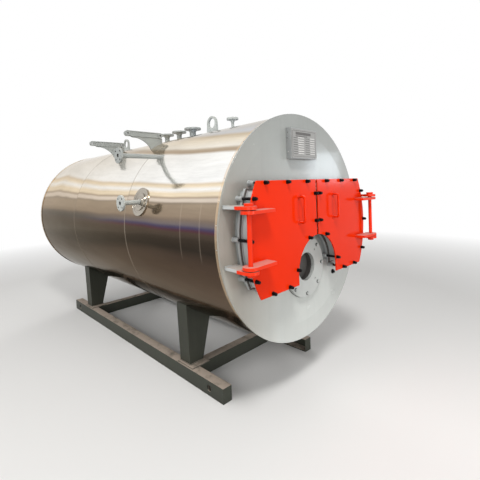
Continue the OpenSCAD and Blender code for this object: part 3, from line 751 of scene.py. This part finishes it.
# Nameplate: a bare bright metal plate, ruled into fields and riveted to a
# shallow grey box that stands on the tube plate.
finish_nodes(painted("box_enamel", (0.30, 0.31, 0.305), rough=0.35, coat=0.2, edge=0.4), "nameplate_box")
data_low, data_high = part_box("data_plate")


def brushed_plate(name):
    """Anodised sheet with a fine brushed grain across it."""
    mat, tree, skin, place = new_finish(name)
    drawn = shader_node(tree, "Mapping", Vector=place, Scale=(6.0, 6.0, 900.0)).outputs[0]
    grain = noise(tree, drawn, 1.0, 4.0)
    tone = blended(tree, grain, (0.25, 0.245, 0.235, 1), (0.34, 0.335, 0.32, 1))
    tree.links.new(tone, skin.inputs["Base Color"])
    tree.links.new(maths(tree, "MULTIPLY_ADD", grain, 0.2, 0.28), skin.inputs["Roughness"])
    bump = shader_node(tree, "Bump", Height=grain, Strength=0.15, Distance=0.0003).outputs[0]
    tree.links.new(bump, skin.inputs["Normal"])
    skin.inputs["Metallic"].default_value = 0.15
    return mat


def slab(bm, low, high, bevel):
    """A flat bar or plate with its edges taken off."""
    made = bmesh.ops.create_cube(bm, size=1.0)["verts"]
    low, high = Vector(low), Vector(high)
    for vert in made:
        vert.co = Vector(low[i] + (vert.co[i] + 0.5) * (high[i] - low[i]) for i in range(3))
    edges = {edge for vert in made for edge in vert.link_edges}
    bmesh.ops.bevel(bm, geom=list(edges), offset=bevel, segments=2, affect="EDGES")


plate_mesh = bmesh.new()
slab(plate_mesh, data_low, data_high, 0.0012)
plate_metal = brushed_plate("nameplate_metal")
data_piece = new_piece("bare_nameplate", plate_mesh, plate_metal, "boiler")
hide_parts("data_plate")
rule_front, rule_back, rule_w, rule_bevel = data_low.y - 0.0006, data_low.y + 0.0005, 0.003, 0.0003
margin, row_pitch = 0.014, 0.0215
left, right, foot, head = data_low.x + margin, data_high.x - margin, data_low.z + margin, data_high.z - margin
rules_mesh, blank_mesh = bmesh.new(), bmesh.new()
for low, high in (((left, foot), (left + rule_w, head)), ((right - rule_w, foot), (right, head)),
                  ((left, foot), (right, foot + rule_w)), ((left, head - rule_w), (right, head)),
                  ((left + 0.05, head - 0.040), (right - 0.08, head - 0.014)),
                  ((left + 0.05, head - 0.056), (right - 0.14, head - 0.048))):
    slab(rules_mesh, (low[0], rule_front, low[1]), (high[0], rule_back, high[1]), rule_bevel)
for number in range(8):
    z = foot + 0.022 + number * row_pitch
    for start, middle, end in ((left + 0.016, left + 0.088, left + 0.182),
                               (left + 0.206, left + 0.286, right - 0.016)):
        slab(rules_mesh, (start, rule_front, z), (middle - 0.01, rule_back, z + 0.0055), rule_bevel)
        slab(rules_mesh, (middle, rule_front, z - 0.003), (end, rule_back, z - 0.001), rule_bevel)
        slab(blank_mesh, (middle, rule_front, z), (end, rule_back, z + 0.0125), rule_bevel)
rule_ink = painted("rule_ink", (0.10, 0.095, 0.09), rough=0.5, edge=0.0, corner_shade=0.0)
new_piece("nameplate_rules", rules_mesh, rule_ink, "boiler")
blank_field = painted("blank_field", (0.58, 0.57, 0.55), rough=0.4, edge=0.0, corner_shade=0.0)
new_piece("nameplate_blanks", blank_mesh, blank_field, "boiler")
rivet_mesh = bmesh.new()
for x in (data_low.x + 0.012, data_high.x - 0.012):
    for z in (data_low.z + 0.012, data_high.z - 0.012):
        turned(rivet_mesh, (x, data_low.y, z), (0, -1, 0),
               [(-0.0005, 0.0048, 0), (0.001, 0.0048, 0), (0.0022, 0.0036, 0), (0.0028, 0.0016, 0)], sides=16)
box_low, box_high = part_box("nameplate_box")
for x, side in ((box_low.x, -1), (box_high.x, 1)):
    for z in (box_low.z + 0.066, box_low.z + 0.197, box_low.z + 0.248):
        turned(rivet_mesh, (x, box_low.y + 0.036, z), (side, 0, 0),
               [(-0.0005, 0.0062, 0), (0.0012, 0.0060, 0), (0.0030, 0.0042, 0), (0.0036, 0.0018, 0)],
               sides=16)
new_piece("nameplate_rivets", rivet_mesh, bright_steel, "boiler")


# Steam, valve and gauge nozzles: pipe stubs with welding neck flanges, set
# into the drum and seam welded, painted mid grey over a polished rosette.
fitting_enamel = painted("fitting_enamel", (0.30, 0.315, 0.30), rough=0.38, coat=0.1, mottle=0.06, edge=0.35,
                         dust=0.55, dust_colour=(0.56, 0.53, 0.47), sheen=0.35)
# A lighter copy of the same fitting paint, as painted light on the gauge nozzle, the lifting eyes and the
# lower level pipe.
lit_fitting_enamel = painted("fitting_enamel_lit_copy", (0.40, 0.415, 0.39), rough=0.38, coat=0.1, mottle=0.06,
                      edge=0.35, dust=0.5, dust_colour=(0.62, 0.59, 0.53), sheen=0.35)
finish_nodes(fitting_enamel, "steam_nozzle", "valve_nozzles")
finish_nodes(lit_fitting_enamel, "gauge_nozzle")


def drum_z(x):
    """Height of the cladding at a distance from the middle plane."""
    return axis_z + math.sqrt(drum_r ** 2 - x * x)


def saddle(y, radius, lift=0.0):
    """Points round an upright pipe where it meets the drum, lifted off the cladding by a little."""
    spots = [(radius * math.cos(a * math.pi / 24), radius * math.sin(a * math.pi / 24)) for a in range(48)]
    return [(x, y + along, drum_z(x) + lift) for x, along in spots]


steam_y, valve_a_y, valve_b_y, gauge_y = 0.685, 1.0, 1.31, -0.095
rosette_rings = ((0.006, 0.0), (0.006, 0.012), (0.010, 0.013), (0.045, 0.0035), (0.052, 0.0015),
                 (0.052, -0.001))
nozzle_welds, rosette_mesh = bmesh.new(), bmesh.new()
for y, pipe_r in ((steam_y, 0.042), (valve_a_y, 0.034), (valve_b_y, 0.034), (gauge_y, 0.017)):
    bead(nozzle_welds, saddle(y, pipe_r), 0.0055, (0, 0, 1), seed=17)
    loft(rosette_mesh, [saddle(y, pipe_r + reach, lift) for reach, lift in rosette_rings], closed=True)
new_piece("nozzle_welds", nozzle_welds, fitting_enamel, "boiler")
# The rosettes carry the cladding's painted reflection bands.
new_piece("nozzle_rosettes", rosette_mesh, sheet_steel, "boiler")


# Lifting eyes: flame cut 28 mm plates with a ground hole, welded along the
# drum's top line.
# The eyes and their welds wear the lighter painted-light copy of the fitting paint.
finish_nodes(lit_fitting_enamel, "lifting_lugs")
eye_welds, eye_ys, half_t, half_l = bmesh.new(), (0.275, 2.605), 0.014, 0.096
for y in eye_ys:
    corners = ((-half_t, -half_l), (half_t, -half_l), (half_t, half_l), (-half_t, half_l))
    bead(eye_welds, [(x, y + s, drum_z(x)) for x, s in corners], 0.006, (0, 0, 1), seed=19)
new_piece("eye_welds", eye_welds, lit_fitting_enamel, "boiler")


# Side brackets: holed lugs at both ends of a flat bar, on a curved gusset
# that is welded down to the drum.
finish_nodes(fitting_enamel, "side_brackets")
gusset_welds, gusset_ys, gusset_half_t, gusset_out = bmesh.new(), (0.807, 1.872), 0.0075, -0.575
gusset_xs = [gusset_out + 0.01 * i for i in range(17)]
for y in gusset_ys:
    for side in (-gusset_half_t, gusset_half_t):
        path = [(x, y + side, drum_z(x)) for x in gusset_xs]
        bead(gusset_welds, path, 0.005, (0, 0, 1), closed=False, seed=23)
new_piece("gusset_welds", gusset_welds, fitting_enamel, "boiler")


# Level pipes: two flanged pipes that carry the water level gauge, welded
# through the cladding; the lower one has a pressed cover plate round it.
# The lower pipe wears the lighter painted-light copy of the fitting paint, the upper one the plain paint.
finish_nodes(fitting_enamel, "upper_level_pipe")
finish_nodes(lit_fitting_enamel, "lower_level_pipe")
bright_sheet = painted("bright_sheet", (0.44, 0.40, 0.34), rough=0.16, mottle=0.10, metal=1.0, edge=0.0,
                       peel=0.2)
finish_nodes(bright_sheet, "level_escutcheon")
level_y, level_pipe_r, level_high, level_low = 0.242, 0.024, 0.770, 0.295
cover_tilt = math.asin(level_low / drum_r)
cover_out = Vector((-math.cos(cover_tilt), 0, math.sin(cover_tilt)))
cover_up = Vector((math.sin(cover_tilt), 0, math.cos(cover_tilt)))
cover_rims = bmesh.new()
for radius, lift, thick in ((0.1475, 0.0075, 0.0030), (0.118, 0.0080, 0.0022), (0.0925, 0.0155, 0.0030),
                            (0.060, 0.016, 0.0030)):
    rings = []
    for a in range(72):
        turn = a * math.pi / 36
        out = math.cos(turn) * Vector((0, 1, 0)) + math.sin(turn) * cover_up
        spot = Vector((0, level_y, axis_z)) + cover_out * (drum_r + lift) + radius * out
        rings.append([spot + thick * (math.cos(k * math.pi / 5) * out + math.sin(k * math.pi / 5) * cover_out)
                      for k in range(10)])
    loft(cover_rims, rings, closed=True)
new_piece("escutcheon_rims", cover_rims, bright_sheet, "boiler")
level_welds = bmesh.new()
for up, proud in ((level_high, 0.0), (level_low, 0.018)):
    ring, z = [], axis_z + up
    for a in range(40):
        dy, dz = level_pipe_r * math.cos(a * math.pi / 20), level_pipe_r * math.sin(a * math.pi / 20)
        ring.append((-proud - math.sqrt(drum_r ** 2 - (z + dz - axis_z) ** 2), level_y + dy, z + dz))
    bead(level_welds, ring, 0.0045, (-1, 0, 0), seed=29)
new_piece("level_welds", level_welds, fitting_enamel, "boiler")


# Bores and bolt holes of the flanges: drilled into bare steel, so their walls
# are dark with mill scale and rust instead of paint; the dark liners also stand in for painted shade inside
# the holes.
scale_and_hole_shade = painted("scale_and_hole_shade", (0.028, 0.022, 0.018), rough=0.75, mottle=0.3, edge=0.2)
bore_mesh, bolt_hole_r = bmesh.new(), 0.009
nozzle_top, gauge_top, level_out = axis_z + drum_r + 0.132, axis_z + drum_r + 0.138, -drum_r - 0.184
for mouth, inward, bore_r, depth, bolt_ring_r, holes, thick in (
        ((0, steam_y, nozzle_top), (0, 0, -1), 0.037, 0.125, 0.092, 8, 0.022),
        ((0, valve_a_y, nozzle_top), (0, 0, -1), 0.029, 0.125, 0.080, 8, 0.022),
        ((0, valve_b_y, nozzle_top), (0, 0, -1), 0.029, 0.125, 0.080, 8, 0.022),
        ((0, gauge_y, gauge_top), (0, 0, -1), 0.012, 0.130, 0.049, 4, 0.022),
        ((level_out, level_y, axis_z + level_high), (1, 0, 0), 0.019, 0.170, 0.060, 4, 0.020),
        ((level_out, level_y, axis_z + level_low), (1, 0, 0), 0.019, 0.170, 0.060, 4, 0.020)):
    across = Vector((1, 0, 0)) if inward[2] else Vector((0, 0, 1))
    walls = [(Vector(mouth), bore_r, depth)]
    for number in range(holes):
        angle = 2 * math.pi * (number + 0.5) / holes
        outward = math.cos(angle) * across + math.sin(angle) * Vector((0, 1, 0))
        walls.append((Vector(mouth) + bolt_ring_r * outward, bolt_hole_r, thick - 0.001))
    for foot, wall_r, far in walls:
        turned(bore_mesh, foot, inward, [(0.001, wall_r - 0.0002, 0), (far, wall_r - 0.0002, 0),
                                         (far, wall_r - 0.0008, 0), (0.001, wall_r - 0.0008, 0)], hollow=True)
new_piece("flange_bores", bore_mesh, scale_and_hole_shade, "boiler")


# Base frame: two channel rails, box cross members between them and end
# plates, seam welded and sprayed dark green grey.
frame_enamel = painted("frame_enamel", (0.040, 0.043, 0.032), rough=0.5, peel=0.25, mottle=0.14, edge=0.35,
                       edge_colour=(0.16, 0.16, 0.15), dust=1.0, dust_colour=(0.45, 0.37, 0.30), runs=0.25,
                       sheen=0.3)
finish_nodes(frame_enamel, "left_rail", "right_rail", "rail_end_caps", "cross_members", "leg_pads")


# Legs: tapered boxes of 12 mm plate, cut to the drum's curve and welded to
# it and to pads on the rails.
leg_enamel = painted("leg_enamel", (0.036, 0.038, 0.027), rough=0.5, peel=0.25, mottle=0.12, edge=0.35,
                     edge_colour=(0.17, 0.17, 0.16), dust=0.6, dust_colour=(0.30, 0.25, 0.20), runs=0.3,
                     sheen=0.3)
finish_nodes(leg_enamel, "legs")
leg_welds, leg_ys, pad_top, rail_top = bmesh.new(), (-0.010, 2.705), 0.1585, 0.1505
leg_foot = ((0.685, 0), (0.507, 0), (0.507, 0.18), (0.685, 0.18))
pad_edge = ((0.713, -0.079), (0.479, -0.079), (0.479, 0.186), (0.713, 0.186))
for side in (-1, 1):
    for y in leg_ys:
        bead(leg_welds, [(side * x, y + s, pad_top) for x, s in leg_foot], 0.005, (0, 0, 1), seed=31)
        bead(leg_welds, [(side * x, y + s, rail_top) for x, s in pad_edge], 0.004, (0, 0, 1), seed=37)
new_piece("leg_welds", leg_welds, frame_enamel, "boiler")


# Rear end: the rear tube plate with a round smoke box, its bolted cover and
# the flue stub, all sprayed the same grey.
finish_nodes(grey_enamel, "rear_plate", "rear_smoke_box", "rear_cover", "flue_outlet")
rear_low, rear_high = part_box("rear_cover")
cover_bolt_r, cover_bolt_count = (rear_high.x - rear_low.x) / 2 - 0.02, 24
cover_bolts, cover_washers = bmesh.new(), bmesh.new()
for number in range(cover_bolt_count):
    angle = 2 * math.pi * (number + 0.5) / cover_bolt_count
    spot = (cover_bolt_r * math.cos(angle), rear_high.y, axis_z + cover_bolt_r * math.sin(angle))
    hex_bolt(cover_bolts, cover_washers, spot, (0, 1, 0), 0.011, 0.009)
new_piece("rear_cover_bolts", cover_bolts, bright_steel, "boiler")
new_piece("rear_cover_washers", cover_washers, black_oxide, "boiler")
